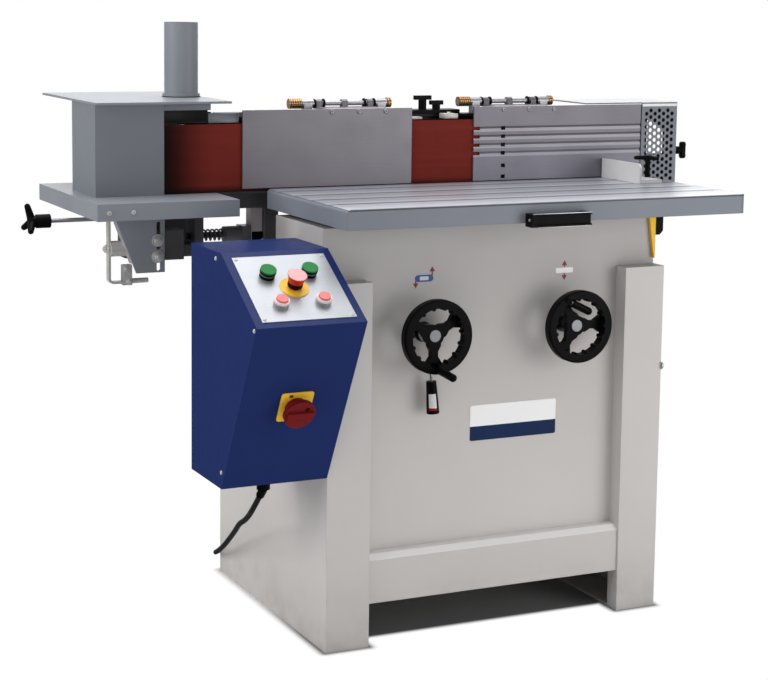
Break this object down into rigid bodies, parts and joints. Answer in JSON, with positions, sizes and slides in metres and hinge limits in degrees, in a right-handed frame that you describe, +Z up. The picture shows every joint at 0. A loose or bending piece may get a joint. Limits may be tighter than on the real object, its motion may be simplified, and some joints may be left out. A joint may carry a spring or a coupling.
{
  "type": "edge sander",
  "caption": "Floor-standing edge sander with an upright abrasive belt, tilting belt unit, rising grooved table, hinged fences, end table with dust hood and a side control box.",
  "frame": {"origin": "on the floor, at the middle of the four floor bolts under the stand", "axes": "+X along the belt to the operator's right, +Y from the operator to the back, +Z up"},
  "size_m": [1.6518, 1.021, 1.316],
  "materials": {
    "stand_grey": "light warm grey paint",
    "box_blue": "blue paint",
    "panel_silver": "brushed plate",
    "black_plastic": "black moulded plastic",
    "red_plastic": "red moulded plastic",
    "green_plastic": "green moulded plastic",
    "yellow_plastic": "yellow plastic",
    "steel": "turned steel",
    "chrome": "chrome plate",
    "table_grey": "ground top, painted sides",
    "beam_dark": "dark grey paint",
    "belt_red": "coated abrasive",
    "fence_grey": "light grey paint",
    "brass": "turned brass",
    "end_grey": "blue grey paint",
    "motor_grey": "painted casting",
    "rubber": "black rubber",
    "bush_bronze": "plain bronze",
    "stop_white": "white paint",
    "spring_steel": "spring wire"
  },
  "bodies": {
    "stand": {"left_leg": "stand_grey", "right_leg": "stand_grey", "crossbar": "stand_grey", "cabinet": "stand_grey", "rear_panels": "stand_grey", "pivot_pedestal": "steel", "shaft_bushes": "bush_bronze", "control_box": "box_blue", "control_plate": "panel_silver", "switch_plates": "yellow_plastic", "cable_glands": "black_plastic", "motor_cable": "rubber", "lock_bracket": "black_plastic"},
    "table": {"table_top": "table_grey", "table_columns": "steel", "table_handle": "black_plastic"},
    "end_stop": {"end_stop": "stop_white"},
    "stop_knob": {"stop_knob": "black_plastic"},
    "lock_lever": {"lock_lever": "yellow_plastic"},
    "start_button_left": {"start_button_left": "green_plastic"},
    "start_button_right": {"start_button_right": "green_plastic"},
    "stop_button_left": {"stop_button_left": "red_plastic"},
    "stop_button_right": {"stop_button_right": "red_plastic"},
    "estop_button": {"estop_button": "red_plastic"},
    "main_switch": {"main_switch": "red_plastic"},
    "clamp_lever": {"clamp_rod": "chrome", "clamp_grip": "black_plastic"},
    "tilt_wheel": {"tilt_handwheel": "black_plastic", "tilt_shaft": "steel"},
    "tilt_crank": {"tilt_crank": "black_plastic"},
    "lift_wheel": {"lift_handwheel": "black_plastic", "lift_shaft": "steel"},
    "lift_crank": {"lift_crank": "black_plastic"},
    "tilt_screw": {"tilt_screw": "steel"},
    "lift_screw": {"lift_screw": "steel"},
    "belt_unit": {"belt_beam": "beam_dark", "beam_fittings": "beam_dark", "platen": "steel", "sanding_belt": "belt_red", "hinge_rods": "steel", "brass_nuts": "brass", "right_fence": "fence_grey", "clamp_bracket": "black_plastic", "end_guard": "fence_grey", "motor": "motor_grey", "vee_belt": "rubber", "tension_spring": "spring_steel"},
    "left_fence": {"left_fence": "fence_grey"},
    "rear_clamp_knob": {"rear_clamp_knob": "black_plastic"},
    "front_clamp_knob": {"front_clamp_knob": "black_plastic"},
    "wing_knob": {"wing_knob": "black_plastic"},
    "drive_drum": {"drive_drum": "steel"},
    "motor_pulley": {"motor_pulley": "steel"},
    "idler_carriage": {"idler_carriage": "beam_dark"},
    "idler_drum": {"idler_drum": "steel"},
    "tension_knob": {"tension_knob": "black_plastic"},
    "end_table": {"end_table": "end_grey", "end_strap": "steel", "hood": "end_grey", "dust_cover": "end_grey"}
  },
  "joints": [
    {"name": "table_lift", "type": "slide", "parent": "stand", "child": "table", "axis": [0, 0, 1], "range_m": [0, 0.08]},
    {"name": "end_stop_slide", "type": "slide", "parent": "table", "child": "end_stop", "axis": [1, 0, 0], "range_m": [-0.28, 0.04]},
    {"name": "stop_knob_turn", "type": "hinge", "parent": "end_stop", "child": "stop_knob", "pos_m": [0.512, -0.085, 0.98], "axis": [0, 0, 1], "continuous": true},
    {"name": "lock_swing", "type": "hinge", "parent": "stand", "child": "lock_lever", "pos_m": [0.3965, -0.28, 0.886], "axis": [0, 1, 0], "range_deg": [-50, 40]},
    {"name": "start_button_left_press", "type": "slide", "parent": "stand", "child": "start_button_left", "axis": [0, 0.5176, -0.8556], "range_m": [0, 0.004], "stiffness_N_per_m": 600},
    {"name": "start_button_right_press", "type": "slide", "parent": "stand", "child": "start_button_right", "axis": [0, 0.5176, -0.8556], "range_m": [0, 0.004], "stiffness_N_per_m": 600},
    {"name": "stop_button_left_press", "type": "slide", "parent": "stand", "child": "stop_button_left", "axis": [0, 0.5176, -0.8556], "range_m": [0, 0.004], "stiffness_N_per_m": 600},
    {"name": "stop_button_right_press", "type": "slide", "parent": "stand", "child": "stop_button_right", "axis": [0, 0.5176, -0.8556], "range_m": [0, 0.004], "stiffness_N_per_m": 600},
    {"name": "estop_button_press", "type": "slide", "parent": "stand", "child": "estop_button", "axis": [0, 0.5176, -0.8556], "range_m": [0, 0.005], "stiffness_N_per_m": 600},
    {"name": "main_switch_turn", "type": "hinge", "parent": "stand", "child": "main_switch", "pos_m": [-0.524, -0.41685, 0.56308], "axis": [0, -0.8819, -0.4713], "range_deg": [0, 90]},
    {"name": "clamp_swing", "type": "hinge", "parent": "stand", "child": "clamp_lever", "pos_m": [-0.172, -0.307, 0.669], "axis": [0, 1, 0], "range_deg": [-40, 40]},
    {"name": "belt_tilt", "type": "hinge", "parent": "stand", "child": "belt_unit", "pos_m": [0, 0.1188, 0.868], "axis": [0, 1, 0], "range_deg": [-2, 2]},
    {"name": "tilt_wheel_turn", "type": "hinge", "parent": "stand", "child": "tilt_wheel", "pos_m": [-0.172, -0.33, 0.669], "axis": [0, 1, 0], "range_deg": [-217, 217]},
    {"name": "tilt_screw_turn", "type": "hinge", "parent": "stand", "child": "tilt_screw", "pos_m": [-0.172, 0.1188, 0.8], "axis": [0, 0, 1], "range_deg": [-217, 217]},
    {"name": "lift_wheel_turn", "type": "hinge", "parent": "stand", "child": "lift_wheel", "pos_m": [0.175, -0.33, 0.669], "axis": [0, 1, 0], "range_deg": [-1, 2881]},
    {"name": "lift_screw_turn", "type": "hinge", "parent": "stand", "child": "lift_screw", "pos_m": [0.175, -0.17, 0.8], "axis": [0, 0, 1], "range_deg": [-1, 2881]},
    {"name": "tilt_crank_fold", "type": "hinge", "parent": "tilt_wheel", "child": "tilt_crank", "pos_m": [-0.172, -0.3538, 0.6], "axis": [-0.829, 0, -0.5592], "range_deg": [0, 99]},
    {"name": "lift_crank_fold", "type": "hinge", "parent": "lift_wheel", "child": "lift_crank", "pos_m": [0.1405, -0.3538, 0.72876], "axis": [-0.4384, 0, -0.8988], "range_deg": [0, 99]},
    {"name": "left_fence_lift", "type": "hinge", "parent": "belt_unit", "child": "left_fence", "pos_m": [-0.188, 0.1188, 1.135], "axis": [-1, 0, 0], "range_deg": [0, 105]},
    {"name": "rear_clamp_turn", "type": "hinge", "parent": "belt_unit", "child": "rear_clamp_knob", "pos_m": [0.018, 0.122, 1.13], "axis": [0, 0, 1], "continuous": true},
    {"name": "front_clamp_turn", "type": "hinge", "parent": "belt_unit", "child": "front_clamp_knob", "pos_m": [0.047, 0.108, 1.13], "axis": [0, 0, 1], "continuous": true},
    {"name": "wing_knob_turn", "type": "hinge", "parent": "belt_unit", "child": "wing_knob", "pos_m": [0.69, 0.07, 1.01], "axis": [1, 0, 0], "continuous": true},
    {"name": "drive_drum_spin", "type": "hinge", "parent": "belt_unit", "child": "drive_drum", "pos_m": [0.53, 0.1188, 1], "axis": [0, 0, 1], "continuous": true},
    {"name": "motor_spin", "type": "hinge", "parent": "belt_unit", "child": "motor_pulley", "pos_m": [0.3, 0.42, 0.88], "axis": [0, 0, 1], "continuous": true},
    {"name": "tension_slide", "type": "slide", "parent": "belt_unit", "child": "idler_carriage", "axis": [1, 0, 0], "range_m": [0, 0.012], "deforming": ["tension_spring"]},
    {"name": "idler_drum_spin", "type": "hinge", "parent": "idler_carriage", "child": "idler_drum", "pos_m": [-0.64, 0.1188, 1], "axis": [0, 0, 1], "continuous": true},
    {"name": "tension_knob_turn", "type": "hinge", "parent": "belt_unit", "child": "tension_knob", "pos_m": [-0.8, 0.1188, 0.89], "axis": [1, 0, 0], "range_deg": [-1, 1081]},
    {"name": "end_table_slide", "type": "slide", "parent": "belt_unit", "child": "end_table", "axis": [0, 0, 1], "range_m": [0, 0.016]}
  ],
  "couplings": [
    {"joint": "tilt_wheel_turn", "follows": "belt_tilt", "ratio": 108.07},
    {"joint": "tilt_screw_turn", "follows": "belt_tilt", "ratio": 108.07},
    {"joint": "lift_wheel_turn", "follows": "table_lift", "rad_per_m": 628.32},
    {"joint": "lift_screw_turn", "follows": "table_lift", "rad_per_m": 628.32},
    {"joint": "motor_spin", "follows": "drive_drum_spin", "ratio": 1},
    {"joint": "idler_drum_spin", "follows": "drive_drum_spin", "ratio": 1},
    {"joint": "tension_knob_turn", "follows": "tension_slide", "rad_per_m": 1570.8}
  ]
}
